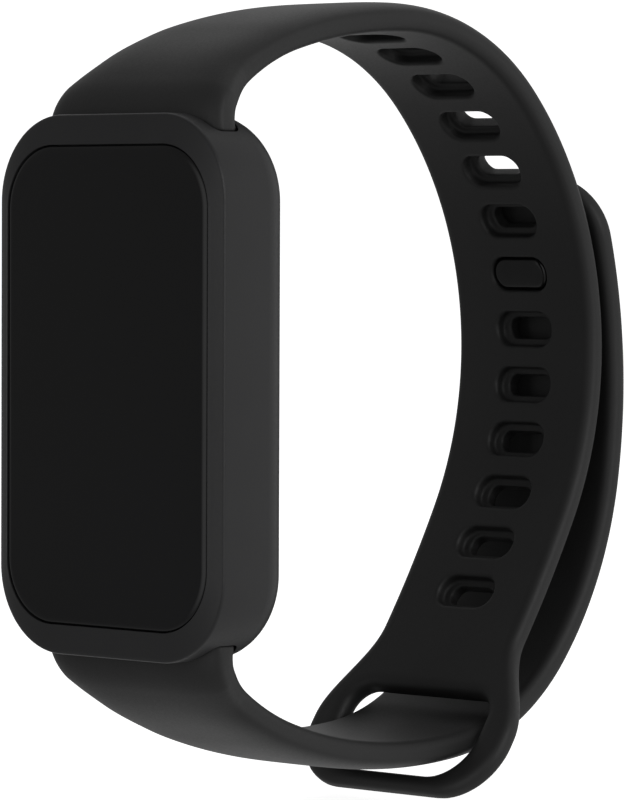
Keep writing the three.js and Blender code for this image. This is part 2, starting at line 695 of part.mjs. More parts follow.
function addSensor() {
  const { frontY, rearY } = SENSOR_BOARD;
  const { halfWidth, halfHeight } = SENSOR_PLUG;
  const plugFrontY = BOARD.rearY + SLIP;
  const plug = block(-halfWidth, halfWidth, plugFrontY, frontY - SLIP, -halfHeight, halfHeight);
  addNode("sensor_connector", plug, paint.seal);
  addNode("sensor_board", plate(SENSOR_BOARD, frontY, rearY), paint.board);
  const onBoard = rearY + SLIP;
  const die = ({ half, height }, z) =>
    block(-half, half, onBoard, onBoard + height, z - half, z + half);
  addNode("sensor_led", die(LED, 0), paint.green);
  addNode("photodiode_upper", die(DIODE, DIODE.z), paint.chip);
  addNode("photodiode_lower", die(DIODE, -DIODE.z), paint.chip);
  addNode("light_baffle", lightBaffle(), paint.seal);
  addNode("sensor_window", plate(WINDOW, WINDOW.frontY, WINDOW.rearY, 0, 0, 5), paint.clear);
  addNode("charging_contact_left", chargingContact(-1), paint.gold);
  addNode("charging_contact_right", chargingContact(1), paint.gold);
}

// ---------------------------------------------------------------- straps

const upperPath = makePath(STRAP_START_Y, STRAP_START_Z, 90, -1, [
  { length: 0.56 },
  { radius: 2, sweep: 46.6 },
  { radius: 20, sweep: 27.6 },
  { radius: 49.4, sweep: 15 },
  { radius: 19.4, sweep: 46.4 },
  { radius: 29.1, sweep: 72.1 },
  { radius: 98.7, sweep: 6.5 },
  { length: LOOP.length },
]);
const lowerPath = makePath(STRAP_START_Y, -STRAP_START_Z, -90, 1, [
  { length: 0.63 },
  { radius: 2, sweep: 46.6 },
  { radius: 22.54, sweep: 24.12 },
  { radius: 43.48, sweep: 25.68 },
  { radius: 18.34, sweep: 42.38 },
  { radius: 28.67, sweep: 31.53 },
  { radius: 46.75, sweep: 31.47 },
]);
const loopStart = upperPath.end - LOOP.length;
const holeStation = (number) => HOLE.first + (number - 1) * HOLE.pitch;

// Three sections closing up towards a rounded end, where the outline turns fastest.
const roundingStations = (end, corner) =>
  [0.31, 0.62, 0.93].map((share) => end - corner * (1 - share));

// Half width through the loop: it flares out of the strap and rounds off at the bottom bar.
function loopHalfWidth(s) {
  const v = s - loopStart;
  const share = smooth((v - LOOP.flareFrom) / LOOP.flareLength);
  const flare = STRAP.narrow + (LOOP.halfWidth - STRAP.narrow) * share;
  const past = Math.max(0, v - (LOOP.length - LOOP.corner));
  const round = LOOP.corner - Math.sqrt(Math.max(0, LOOP.corner ** 2 - past ** 2));
  return flare - round;
}
const upperHalfWidth = (s) => (s < loopStart ? taper(s) : loopHalfWidth(s));

// The loop's opening: small corners on the strap side, large ones against the bottom bar.
function loopOpeningShape() {
  const { halfWidth, from, to, topCorner, bottomCorner } = LOOP_OPENING;
  const half = (to - from) / 2;
  const steps = 5;
  const twoCorners = 2 * (steps + 1);
  const bottom = roundedPoints(halfWidth, half, bottomCorner, steps).slice(0, twoCorners);
  const top = roundedPoints(halfWidth, half, topCorner, steps).slice(twoCorners);
  return new THREE.Shape([...bottom, ...top]);
}

// The blind slot in a strap root that its stiff tongue reaches into.
function coreCut(end) {
  const { halfWidth, frontY, rearY, endZ } = TONGUE_CORE;
  const bottomZ = endZ + 2 * FIT;
  const low = end > 0 ? STRAP_START_Z - CUT : -bottomZ;
  const high = end > 0 ? bottomZ : -(STRAP_START_Z - CUT);
  return block(-halfWidth - FIT, halfWidth + FIT, frontY - FIT, rearY + FIT, low, high);
}

function upperStrap() {
  const ends = roundingStations(upperPath.end, LOOP.corner);
  let body = bentStrap(upperPath, 0, upperPath.end, upperHalfWidth, thickness, ends);
  for (let number = 1; number <= HOLE.count; number += 1) {
    const s = holeStation(number);
    const snapped = number === HOLE.studHole;
    const depth = snapped ? THROUGH : COUNTERBORE.depth;
    body = body.subtract(onStrap(upperPath, s, COUNTERBORE, -CUT, depth));
    if (!snapped) {
      body = body.subtract(onStrap(upperPath, s, SLOT, 0, THROUGH));
    }
  }
  const middle = loopStart + (LOOP_OPENING.from + LOOP_OPENING.to) / 2;
  body = body.subtract(standing(upperPath, middle, loopOpeningShape(), -CUT, THROUGH));
  return body.subtract(coreCut(1));
}

function lowerStrap() {
  const body = bentStrap(lowerPath, 0, TAIL_START - TAIL_GAP, taper, thickness);
  return body.subtract(coreCut(-1));
}

function tailHalfWidth(s) {
  const past = Math.max(0, s - (lowerPath.end - TAIL_TIP));
  return STRAP.narrow - TAIL_TIP + Math.sqrt(Math.max(0.01, TAIL_TIP ** 2 - past ** 2));
}

const studStation = holeStation(HOLE.studHole);

// The stud's stacked outlines, each grown by `gap` where they are used to cut its seat in the tail.
function studSolid(gap = 0) {
  const layer = (size, inner, outer) => onStrap(upperPath, studStation, size, inner, outer);
  const { from, to, crown } = STUD_HEAD;
  const flangeFrom = STUD_FLANGE.from;
  const rim = layer(grown(STUD_HEAD, gap), from + crown, to);
  const top = layer(grown(STUD_HEAD, -crown), from, to);
  const neck = layer(grown(STUD_NECK, gap), to - OVERLAP, flangeFrom + OVERLAP);
  const flange = layer(grown(STUD_FLANGE, gap), flangeFrom - gap, STUD_FLANGE.to + gap);
  return rim.add(top).add(neck).add(flange);
}

function strapTail() {
  const ends = roundingStations(lowerPath.end, TAIL_TIP);
  const body = bentStrap(lowerPath, TAIL_START, lowerPath.end, tailHalfWidth, thickness, ends);
  return body.subtract(studSolid(STUD_FIT));
}

// The stiff tongue moulded into a strap root, with the well that its spring clip sits in.
function strapTongue(end) {
  const { halfWidth, frontY, rearY, startZ, endZ } = TONGUE;
  const span = (a, b) => (end > 0 ? [a, b] : [-b, -a]);
  let body = block(-halfWidth, halfWidth, frontY, rearY, ...span(startZ, endZ));
  const core = TONGUE_CORE;
  const coreSpan = span(endZ - OVERLAP, core.endZ);
  body = body.add(block(-core.halfWidth, core.halfWidth, core.frontY, core.rearY, ...coreSpan));
  const wellX = CLIP.halfWidth + CLIP_WELL.side;
  const wellSpan = span(startZ + CLIP_WELL.end, endZ - CLIP_WELL.end);
  return body.subtract(block(-wellX, wellX, CLIP_WELL.frontY, rearY + CUT, ...wellSpan));
}

// The spring clip's leaf with its barb, drawn as one bent outline and carried across X.
function strapClip(end) {
  const { halfWidth, leaf, y, startZ, barbZ, barbY } = CLIP;
  const outline = [
    [y, startZ],
    [y, barbZ + leaf / 2],
    [barbY, barbZ + leaf / 2],
    [barbY, barbZ - leaf / 2],
    [y + leaf, barbZ - leaf / 2],
    [y + leaf, startZ],
  ].map(([pointY, z]) => [pointY, end * z]);
  if (end > 0) {
    outline.reverse();
  }
  return ribbon(outline, halfWidth);
}

function releaseButton(end) {
  const size = { ...BUTTON, corner: BUTTON.halfHeight };
  return plate(size, BUTTON.frontY, BUTTON.rearY, 0, end * BUTTON.z);
}

function addStraps() {
  addNode("upper_strap", upperStrap(), paint.strap);
  addNode("lower_strap", lowerStrap(), paint.strap);
  addNode("strap_tail", strapTail(), paint.strap);
  addNode("closure_stud", studSolid(), paint.gloss);
  for (const [name, end] of [["upper", 1], ["lower", -1]]) {
    addNode(name + "_strap_tongue", strapTongue(end), paint.frame);
    addNode(name + "_strap_clip", strapClip(end), paint.steel);
    addNode(name + "_release_button", releaseButton(end), paint.frame);
  }
}

addCase();
addDisplay();
addElectronics();
addMotor();
addSensor();
addStraps();

// Stand the band on its lowest point, with the origin at the middle of its footprint.
const box = new THREE.Box3().setFromObject(band);
const middle = box.getCenter(new THREE.Vector3());
band.position.set(0, -middle.y, -box.min.z);

export default band;
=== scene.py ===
# Fitness tracker band: the visible shells, straps and stud in full detail, with camera and light.
# Sizes are in millimetres, measured from the middle of the glass face. mm() puts them in the frame.
import json
import math

import bmesh
import bpy
import numpy as np
from mathutils import Matrix, Vector


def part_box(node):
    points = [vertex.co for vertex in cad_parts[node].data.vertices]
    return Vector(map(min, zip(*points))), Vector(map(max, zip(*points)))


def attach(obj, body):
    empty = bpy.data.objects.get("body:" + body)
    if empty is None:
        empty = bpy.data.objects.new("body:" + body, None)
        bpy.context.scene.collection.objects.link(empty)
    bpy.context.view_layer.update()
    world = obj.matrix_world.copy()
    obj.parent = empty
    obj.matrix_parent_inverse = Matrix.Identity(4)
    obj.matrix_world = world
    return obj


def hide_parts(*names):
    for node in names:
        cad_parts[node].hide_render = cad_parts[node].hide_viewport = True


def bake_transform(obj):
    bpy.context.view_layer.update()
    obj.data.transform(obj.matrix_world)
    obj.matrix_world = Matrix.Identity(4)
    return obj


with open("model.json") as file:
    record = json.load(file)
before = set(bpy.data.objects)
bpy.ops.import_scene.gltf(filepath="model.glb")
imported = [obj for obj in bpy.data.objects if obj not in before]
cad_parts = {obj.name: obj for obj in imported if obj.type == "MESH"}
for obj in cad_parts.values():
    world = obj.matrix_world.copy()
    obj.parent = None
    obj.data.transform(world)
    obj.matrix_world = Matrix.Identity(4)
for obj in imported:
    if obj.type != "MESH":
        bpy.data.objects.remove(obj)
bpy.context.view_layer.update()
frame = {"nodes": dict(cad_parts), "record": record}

# ------------------------------------------------------------------ frame

glass_low, glass_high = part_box("cover_glass")
ORIGIN = np.array([0, glass_low.y, (glass_low.z + glass_high.z) / 2])
MM = 0.001


def mm(points):
    """Points in millimetres from the middle of the glass face, as metres in the frame."""
    return np.asarray(points, float) * MM + ORIGIN


# ------------------------------------------------------------------ driving dimensions, in mm

CASE = dict(half_width=12.7, half_height=21.4, corner=6.9)
RIM = dict(half_width=12.5, half_height=21.25, corner=6.7)  # outer edge of the sloping bezel
REAR_Y = 8.4
REAR_RADIUS = 3.0
SPLIT_Y = 7.5  # parting plane between the housing and the back cover
SEAM = 0.05  # how far both covers draw in at the parting plane
GLASS = dict(half_width=11.27, half_height=18.9, corner=5.0)
GLASS_THICK = 0.7
GLASS_GAP = 0.08
RECESS_Y = 0.95
LIP_Y = 0.06  # the housing's front edge round the glass
CAVITY = dict(half_width=10.8, half_height=16.3, corner=4.8)
CAVITY_Y = 1.75
PANEL_OPENING = dict(half_width=10.3, half_height=17.2, corner=3.4)
POCKET = dict(half_width=10.05, front_y=2.1, rear_y=5.2, floor_z=17.2, corner=0.9)
POCKET_MOUTH_Y = 5.6
POCKET_MOUTH = ((20.3, 0), (20.8, 0.5), (21.3, 1), (22.4, 1))  # (z, how far it has opened)
BUMP = dict(half_width=8.2, half_height=11.0, corner=7.0)
BUMP_FOOT_Y = 8.2
BUMP_SIDE_Y = 8.75
BUMP_Y = 9.9
BUMP_ROUND = 2.2
BUMP_HOLLOW = 2.3
WINDOW = dict(half_width=5.0, half_height=7.0, corner=4.2)
WINDOW_LEDGE = 0.6
WINDOW_FRONT_Y = 9.2
WINDOW_SIDE_Y = 9.7
WINDOW_ROUND = 0.15
BUTTON = dict(half_width=2.1, half_height=0.75, corner=0.74)
BUTTON_Z = 18.4
BUTTON_FRONT_Y = 4.98
BUTTON_SIDE_Y = 8.02
BUTTON_ROUND = 0.18
BUTTON_GAP = 0.1
CONTACT_X = 2.6
CONTACT_Z = -14.2
CONTACT_BORES = ((0.75, SPLIT_Y - 1), (1.3, 7.97))  # (radius, where it starts): stem and head
CONTACT_ROUND = 0.13
FIT = 0.05

WIDE = 9.85
NARROW = 7.7
NECK_LENGTH = 5.5
TAPER_LENGTH = 18.0
NECK_SHARE = 0.7
STRAP_START_Y = 5.15
STRAP_START_Z = 19.85
BASE_THICK = 3.0
ROOT_THICK = 2.5
BACK_THICK = 2.15
ROOT_SPAN = (3.0, 10.0)
BACK_SPAN = (35.0, 60.0)

HOLE_COUNT = 13
FIRST_HOLE = 28.3
HOLE_PITCH = 4.72
STUD_HOLE = 7
COUNTERBORE = dict(half_width=3.05, half_height=1.44, corner=1.4)
COUNTERBORE_DEPTH = 1.0
SLOT = dict(half_width=2.35, half_height=0.87, corner=0.85)
STUD_HEAD = dict(half_width=2.92, half_height=1.31, corner=1.27)
STUD_NECK = dict(half_width=2.1, half_height=0.72, corner=0.66)
STUD_FLANGE = dict(half_width=3.1, half_height=1.8, corner=1.5)

LOOP_LENGTH = 15.6
LOOP_HALF_WIDTH = 11.1
LOOP_CORNER = 5.4
LOOP_FLARE = (0.5, 9.5)
LOOP_OPENING = dict(half_width=8.0, start=6.2, stop=14.0, top_corner=2.1, bottom_corner=4.0)
TAIL_TIP = 5.0
CORE = dict(half_width=7.45, front_y=3.05, rear_y=4.15, end_z=21.6)

# ------------------------------------------------------------------ strap paths


class Path:
    """Tangent stretches in the YZ plane: (radius, sweep in degrees), or (None, length) if straight.
    turn is -1 over the top of the ring and +1 underneath it. Stations are lengths along it."""

    def __init__(self, y, z, heading, turn, stretches):
        self.turn = turn
        self.parts = []
        heading = math.radians(heading)
        s = 0.0
        for radius, amount in stretches:
            curve = turn / radius if radius else 0.0
            run = radius * math.radians(amount) if radius else amount
            self.parts.append((s, y, z, heading, curve))
            s += run
            y, z, heading = (float(v) for v in self.at(s))
        self.end = s

    def at(self, s):
        """The point and heading at stations s, in the YZ plane."""
        s = np.asarray(s, float)
        starts = [part[0] for part in self.parts]
        index = np.clip(np.searchsorted(starts, s, side="right") - 1, 0, None)
        start, y, z, heading, curve = (np.array(column)[index] for column in zip(*self.parts))
        run = s - start
        new = heading + curve * run
        bent = np.abs(curve) > 1e-9
        safe = np.where(bent, curve, 1.0)
        dy = np.where(bent, (np.sin(new) - np.sin(heading)) / safe, run * np.cos(heading))
        dz = np.where(bent, (np.cos(heading) - np.cos(new)) / safe, run * np.sin(heading))
        return y + dy, z + dz, new

    def bend(self, flat):
        """Flat points (x across, s along, out from the wrist) bent onto the path."""
        x, s, out = np.asarray(flat, float).T
        return self.set_out(s, x, 0.0, out)

    def place(self, station, points):
        """Points (x, along, out) of a stiff piece that stands on the path at one station."""
        x, along, out = np.asarray(points, float).T
        return self.set_out(station, x, along, out)

    def set_out(self, s, x, along, out):
        y, z, heading = self.at(s)
        out_y = self.turn * np.sin(heading)
        out_z = -self.turn * np.cos(heading)
        y = y + along * np.cos(heading) + out * out_y
        z = z + along * np.sin(heading) + out * out_z
        return np.stack([self.turn * x, y, z], axis=1)


UPPER = Path(STRAP_START_Y, STRAP_START_Z, 90, -1, [
    (None, 0.56), (2, 46.6), (20, 27.6), (49.4, 15), (19.4, 46.4), (29.1, 72.1), (98.7, 6.5),
    (None, LOOP_LENGTH),
])
LOWER = Path(STRAP_START_Y, -STRAP_START_Z, -90, 1, [
    (None, 0.63), (2, 46.6), (22.54, 24.12), (43.48, 25.68), (18.34, 42.38), (28.67, 31.53),
    (46.75, 31.47),
])
LOOP_START = UPPER.end - LOOP_LENGTH


def smooth(t):
    t = min(max(t, 0.0), 1.0)
    return t * t * (3 - 2 * t)


def taper(s):
    """Half width: a short neck just outside the case, then a long gentle taper."""
    neck = NECK_SHARE * (1 - smooth(s / NECK_LENGTH))
    gentle = (1 - NECK_SHARE) * (1 - smooth(s / TAPER_LENGTH))
    return NARROW + (WIDE - NARROW) * (neck + gentle)


def progress(s, span):
    return smooth((s - span[0]) / (span[1] - span[0]))


def thickness(s):
    thinned = (ROOT_THICK - BASE_THICK) * progress(s, ROOT_SPAN)
    return BASE_THICK + thinned + (BACK_THICK - ROOT_THICK) * progress(s, BACK_SPAN)


def upper_half_width(s):
    """The upper strap's half width: it flares into the loop and rounds off at the bottom bar."""
    v = s - LOOP_START
    if v < 0:
        return taper(s)
    flare = NARROW + (LOOP_HALF_WIDTH - NARROW) * progress(v, LOOP_FLARE)
    past = max(0.0, v - (LOOP_LENGTH - LOOP_CORNER))
    return flare - (LOOP_CORNER - math.sqrt(max(0.0, LOOP_CORNER**2 - past**2)))


def tail_half_width(s):
    past = max(0.0, s - (LOWER.end - TAIL_TIP))
    return taper(s) - TAIL_TIP + math.sqrt(max(0.0, TAIL_TIP**2 - past**2))


# ------------------------------------------------------------------ mesh helpers


def new_object(name, vertices, faces):
    mesh = bpy.data.meshes.new(name)
    mesh.from_pydata([tuple(v) for v in vertices], [], faces)
    mesh.update()
    piece = bpy.data.objects.new(name, mesh)
    bpy.context.scene.collection.objects.link(piece)
    return piece


def rounded(half_width, half_height, corner, steps=24):
    """Corner points of a rounded rectangle, counterclockwise, with the same count at any size."""
    points = []
    for quarter in range(4):
        sign_x = 1 if quarter in (0, 3) else -1
        sign_y = 1 if quarter < 2 else -1
        for step in range(steps + 1):
            angle = (quarter + step / steps) * math.pi / 2
            points.append((
                sign_x * (half_width - corner) + corner * math.cos(angle),
                sign_y * (half_height - corner) + corner * math.sin(angle),
            ))
    return points


def grown(size, by):
    return dict(
        half_width=size["half_width"] + by,
        half_height=size["half_height"] + by,
        corner=max(size["corner"] + by, 0.05),
    )


def skin(rings):
    """Vertices and faces that join rings of equal length in order, with a flat cap on each end."""
    count = len(rings[0])
    vertices = [v for ring in rings for v in ring]
    faces = []
    for level in range(len(rings) - 1):
        base = level * count
        for i in range(count):
            j = (i + 1) % count
            faces.append((base + i, base + j, base + count + j, base + count + i))
    faces.append(tuple(reversed(range(count))))
    faces.append(tuple(range((len(rings) - 1) * count, len(rings) * count)))
    return vertices, faces


def outward(piece):
    """The piece with its doubled vertices merged and its faces turned outward."""
    bm = bmesh.new()
    bm.from_mesh(piece.data)
    bmesh.ops.remove_doubles(bm, verts=bm.verts, dist=1e-7)
    bmesh.ops.recalc_face_normals(bm, faces=bm.faces)
    bm.to_mesh(piece.data)
    bm.free()
    return piece


def y_loft(name, levels, x=0.0, z=0.0, steps=24):
    """A body lofted along Y through rounded rectangles: levels are (y, size)."""
    rings = []
    for y, size in levels:
        rings.append([(x + px, y, z + pz) for px, pz in rounded(**size, steps=steps)])
    vertices, faces = skin(rings)
    return outward(new_object(name, mm(vertices), faces))


def combine(piece, other, operation):
    """Cuts or joins another solid, which is then removed."""
    modifier = piece.modifiers.new("Boolean", "BOOLEAN")
    modifier.object = other
    modifier.operation = operation
    modifier.solver = "EXACT"
    bpy.context.view_layer.update()
    graph = bpy.context.evaluated_depsgraph_get()
    mesh = bpy.data.meshes.new_from_object(piece.evaluated_get(graph))
    piece.modifiers.clear()
    old = piece.data
    piece.data = mesh
    bpy.data.meshes.remove(old)
    bpy.data.objects.remove(other)


def shade(piece, degrees=None):
    for polygon in piece.data.polygons:
        polygon.use_smooth = True
    if degrees is not None:
        piece.data.set_sharp_from_angle(angle=math.radians(degrees))
    return piece


def dress(piece, material, body, slot, *nodes):
    """Gives a piece its material and its body, and hides the CAD nodes that it stands for. slot is
    not used.
    """
    piece.data.materials.clear()
    piece.data.materials.append(material)
    if body:
        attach(piece, body)
    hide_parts(*nodes)


# ------------------------------------------------------------------ moulded straps

CELL = 0.17  # grid pitch of the straps' fields
OPENING_EASE = 1.1
HOLE_EASE = 0.2
START_INSET = 0.02  # a strap begins this far along its path
RELAX_ROUNDS = 2
OUTLINE_PITCH = 0.7
END_LENGTH = 6.0  # the stretch at a strap's end where its outline is sampled more closely
END_SAMPLES = 40


def polygon_distance(x, s, points):
    """Distance from the points (x, s) to a closed outline: positive inside it, negative outside."""
    nearest = np.full(x.shape, np.inf)
    inside = np.zeros(x.shape, bool)
    following = points[1:] + points[:1]
    for (x0, s0), (x1, s1) in zip(points, following):
        dx, ds = x1 - x0, s1 - s0
        length = dx * dx + ds * ds
        if length < 1e-12:
            continue
        t = np.clip(((x - x0) * dx + (s - s0) * ds) / length, 0, 1)
        nearest = np.minimum(nearest, np.hypot(x - x0 - t * dx, s - s0 - t * ds))
        if s0 != s1:
            straddles = (s0 > s) != (s1 > s)
            inside ^= straddles & (x < x0 + (s - s0) * dx / ds)
    return np.where(inside, nearest, -nearest)


def rounded_distance(x, s, size):
    """Distance to a rounded rectangle: negative inside it."""
    qx = np.abs(x) - (size["half_width"] - size["corner"])
    qs = np.abs(s) - (size["half_height"] - size["corner"])
    outer = np.hypot(np.maximum(qx, 0), np.maximum(qs, 0))
    return outer + np.minimum(np.maximum(qx, qs), 0) - size["corner"]


def soft_max(a, b, reach):
    """The larger of two fields, with the corner between them eased over `reach`."""
    blend = np.maximum(reach - np.abs(a - b), 0) / reach
    return np.maximum(a, b) + blend * blend * reach / 4


class Section:
    """The strap's edge profile as a field of (distance in from the edge, height above the inner
    face): flat inside with a small round, a short upright side, and a broad crowned shoulder."""

    INNER_REACH = 0.92
    INNER_RISE = 0.34
    SIDE_TOP = 0.56
    CROWN_POWER = 0.45
    STEP = 0.05
    LOW = (-1.6, -1.2)
    SIZE = (210, 112)
    FAR = 30.0

    def __init__(self):
        inner = [
            (self.INNER_REACH * (1 - math.sin(a)), self.INNER_RISE * ROOT_THICK * (1 - math.cos(a)))
            for a in np.linspace(0, math.pi / 2, 13)
        ]
        rise = 1 - self.SIDE_TOP
        outer = [
            (
                NARROW * (1 - max(math.cos(a), 0) ** self.CROWN_POWER),
                ROOT_THICK * (self.SIDE_TOP + rise * math.sin(a)),
            )
            for a in np.linspace(0, math.pi / 2, 60)
        ]
        outline = [(self.FAR, 0.0), *inner, *outer, (self.FAR, ROOT_THICK)]
        axes = [low + self.STEP * np.arange(n) for low, n in zip(self.LOW, self.SIZE)]
        d, n = np.meshgrid(*axes, indexing="ij")
        self.table = -polygon_distance(d, n, outline)

    def __call__(self, d, n):
        """Negative inside the strap."""
        u = np.clip((d - self.LOW[0]) / self.STEP, 0, self.SIZE[0] - 1.001)
        v = np.clip((n - self.LOW[1]) / self.STEP, 0, self.SIZE[1] - 1.001)
        i, j = u.astype(int), v.astype(int)
        a, b = u - i, v - j
        table = self.table
        low = table[i, j] * (1 - b) + table[i, j + 1] * b
        high = table[i + 1, j] * (1 - b) + table[i + 1, j + 1] * b
        return low * (1 - a) + high * a


def net(field, low, cell):
    """The zero surface of a field sampled on a grid, as vertices and quads that face out of it."""
    cells = tuple(n - 1 for n in field.shape)
    total = np.zeros(cells + (3,))
    count = np.zeros(cells)
    crossings = []
    for axis in range(3):
        first = [slice(None)] * 3
        second = [slice(None)] * 3
        first[axis] = slice(0, -1)
        second[axis] = slice(1, None)
        a, b = field[tuple(first)], field[tuple(second)]
        crossed = (a < 0) != (b < 0)
        crossing = np.where(crossed, a / np.where(crossed, a - b, 1), 0)
        crossings.append((crossed, a < 0))
        others = [d for d in range(3) if d != axis]
        for step0 in (0, 1):
            for step1 in (0, 1):
                part = [slice(None)] * 3
                part[others[0]] = slice(step0, step0 + cells[others[0]])
                part[others[1]] = slice(step1, step1 + cells[others[1]])
                here = crossed[tuple(part)]
                count += here
                total[..., axis] += crossing[tuple(part)]
                total[..., others[0]] += here * step0
                total[..., others[1]] += here * step1
    active = count > 0
    index = np.full(cells, -1)
    index[active] = np.arange(active.sum())
    vertices = low + (np.argwhere(active) + total[active] / count[active][:, None]) * cell
    quads = []
    for axis, (crossed, inside) in enumerate(crossings):
        others = [d for d in range(3) if d != axis]
        at = np.argwhere(crossed)
        for d in others:
            at = at[(at[:, d] >= 1) & (at[:, d] < cells[d])]
        corners = []
        for back0, back1 in ((1, 1), (0, 1), (0, 0), (1, 0)):
            cell_at = at.copy()
            cell_at[:, others[0]] -= back0
            cell_at[:, others[1]] -= back1
            corners.append(index[tuple(cell_at.T)])
        quad = np.stack(corners, axis=1)
        forward = inside[tuple(at.T)] != (axis == 1)
        quads.append(np.where(forward[:, None], quad, quad[:, ::-1]))
    return vertices, np.concatenate(quads)


def relaxed(vertices, quads, rounds):
    """Vertices moved part of the way to the middle of their neighbours."""
    edges = np.concatenate([quads[:, [i, (i + 1) % 4]] for i in range(4)])
    for _ in range(rounds):
        total = np.zeros_like(vertices)
        number = np.zeros(len(vertices))
        for a, b in ((0, 1), (1, 0)):
            np.add.at(total, edges[:, a], vertices[edges[:, b]])
            np.add.at(number, edges[:, a], 1)
        vertices = 0.5 * vertices + 0.5 * total / number[:, None]
    return vertices


SECTION = Section()


def strap_grid(half_width, end):
    """The lowest corner and the three axes of the grid that holds a flat strap."""
    low = np.array([-half_width - 3 * CELL, -2 * CELL, -4 * CELL])
    high = np.array([half_width + 3 * CELL, end + 4 * CELL, BASE_THICK + 4 * CELL])
    counts = np.ceil((high - low) / CELL).astype(int) + 1
    axes = [low[d] + CELL * np.arange(counts[d]) for d in range(3)]
    return low, axes


def strap_outline(half_width, end):
    """Both edges of a strap and its end, carried well past its start so the start stays square."""
    closing = END_LENGTH * (1 - np.linspace(0, 1, END_SAMPLES)) ** 2
    stations = [-10.0, *np.arange(0, end - END_LENGTH, OUTLINE_PITCH), *(end - closing)]
    right = [(half_width(s), s) for s in stations]
    return right + [(-x, s) for x, s in reversed(right)]


def scaled_thickness(s):
    return np.array([ROOT_THICK / thickness(v) for v in s])


def core_field(x, s, n, path):
    """The blind slot in the strap's root that its stiff tongue reaches into: negative inside it."""
    inner_y = path.parts[0][1]
    low, high = inner_y - CORE["rear_y"], inner_y - CORE["front_y"]
    across = np.abs(x) - CORE["half_width"]
    along = s - (CORE["end_z"] - STRAP_START_Z)
    through = np.maximum(low - n, n - high)
    return np.maximum(np.maximum(across, along), through)


def strap_mesh(name, path, half_width, widest, end, openings=(), holes=()):
    """A strap half. openings are fields of (x, s) that are negative inside a cut-out with eased
    edges. holes are (station, whether its bottom has only a slot), cut from the inner face."""
    low, (across, along, height) = strap_grid(widest, end)
    x, s = np.meshgrid(across, along, indexing="ij")
    edge = polygon_distance(x, s, strap_outline(half_width, end))
    cuts = [opening(x, s)[:, :, None] for opening in openings]
    x, s, n = np.meshgrid(across, along, height, indexing="ij")
    stretch = scaled_thickness(along)[None, :, None]
    field = SECTION(edge[:, :, None] + 0 * n, n * stretch)
    for cut in cuts:
        field = soft_max(field, -cut, OPENING_EASE)
    for station, slot in holes:
        reach = np.abs(along - station) < COUNTERBORE["half_height"] + 1
        part = (slice(None), reach)
        xs, ss, ns = x[part], s[part] - station, n[part]
        hole = rounded_distance(xs, ss, COUNTERBORE)
        if slot:
            hole = np.maximum(hole, ns - COUNTERBORE_DEPTH)
            hole = np.minimum(hole, rounded_distance(xs, ss, SLOT))
        field[part] = soft_max(field[part], -hole, HOLE_EASE)
    field = np.maximum(field, -core_field(x, s, n, path))
    field = np.maximum(field, START_INSET - s)
    vertices, quads = net(field, low, CELL)
    vertices = relaxed(vertices, quads, RELAX_ROUNDS)
    return outward(new_object(name, mm(path.bend(vertices)), quads.tolist()))


def hole_station(number):
    return FIRST_HOLE + (number - 1) * HOLE_PITCH


def loop_opening(x, s):
    """Small corners on the strap side, large ones against the bottom bar."""
    size = LOOP_OPENING
    along = s - LOOP_START
    half = 6.0  # each of the two overlapping outlines is longer than the opening
    long = dict(half_width=size["half_width"], half_height=half)
    top = rounded_distance(x, along - size["start"] - half, dict(long, corner=size["top_corner"]))
    lower = dict(long, corner=size["bottom_corner"])
    return np.maximum(top, rounded_distance(x, along - size["stop"] + half, lower))


def make_straps():
    numbers = range(1, HOLE_COUNT + 1)
    holes = [(hole_station(number), number != STUD_HOLE) for number in numbers]
    upper = strap_mesh(
        "upper_strap_moulding", UPPER, upper_half_width, LOOP_HALF_WIDTH, UPPER.end,
        [loop_opening], holes,
    )
    dress(shade(upper), STRAP, "root", "strap", "upper_strap")
    lower = strap_mesh("lower_strap_moulding", LOWER, tail_half_width, WIDE, LOWER.end)
    dress(shade(lower), STRAP, None, "strap", "lower_strap", "strap_tail")
    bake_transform(lower)


# ------------------------------------------------------------------ closure stud


def make_stud():
    """Head, neck and flange, built up outward: levels are (out, size)."""
    station = hole_station(STUD_HOLE)
    neck, flange = STUD_NECK, STUD_FLANGE
    dome = []
    for angle in np.linspace(0, math.pi / 2, 9):
        inset = 0.42 * (1 - math.sin(angle))
        dome.append((0.12 + 0.34 * (1 - math.cos(angle)), grown(STUD_HEAD, -inset)))
    middle = [(0.09, grown(STUD_HEAD, -0.75)), (0.07, grown(STUD_HEAD, -1.1))]
    levels = [
        *reversed(middle), *dome,
        (0.84, STUD_HEAD), (0.92, grown(STUD_HEAD, -0.06)), (0.94, grown(STUD_HEAD, -0.14)),
        (0.97, grown(neck, 0.1)), (1.05, neck), (3.02, neck),
        (3.05, grown(flange, -0.1)), (3.12, flange), (3.53, flange), (3.6, grown(flange, -0.1)),
    ]
    rings = []
    for out, size in levels:
        ring = [(x, along, out) for x, along in rounded(**size, steps=16)]
        rings.append(UPPER.place(station, ring).tolist())
    vertices, faces = skin(rings)
    stud = outward(new_object("closure_stud_moulding", mm(vertices), faces))
    dress(shade(stud, 40), GLOSS, "tail", "stud", "closure_stud")


# ------------------------------------------------------------------ case


def rear_round(y):
    """How far the case's outline draws in over its rounded rear edge."""
    rise = (y - (REAR_Y - REAR_RADIUS)) / REAR_RADIUS
    return REAR_RADIUS * (1 - math.sqrt(max(0.0, 1 - max(rise, 0.0) ** 2)))


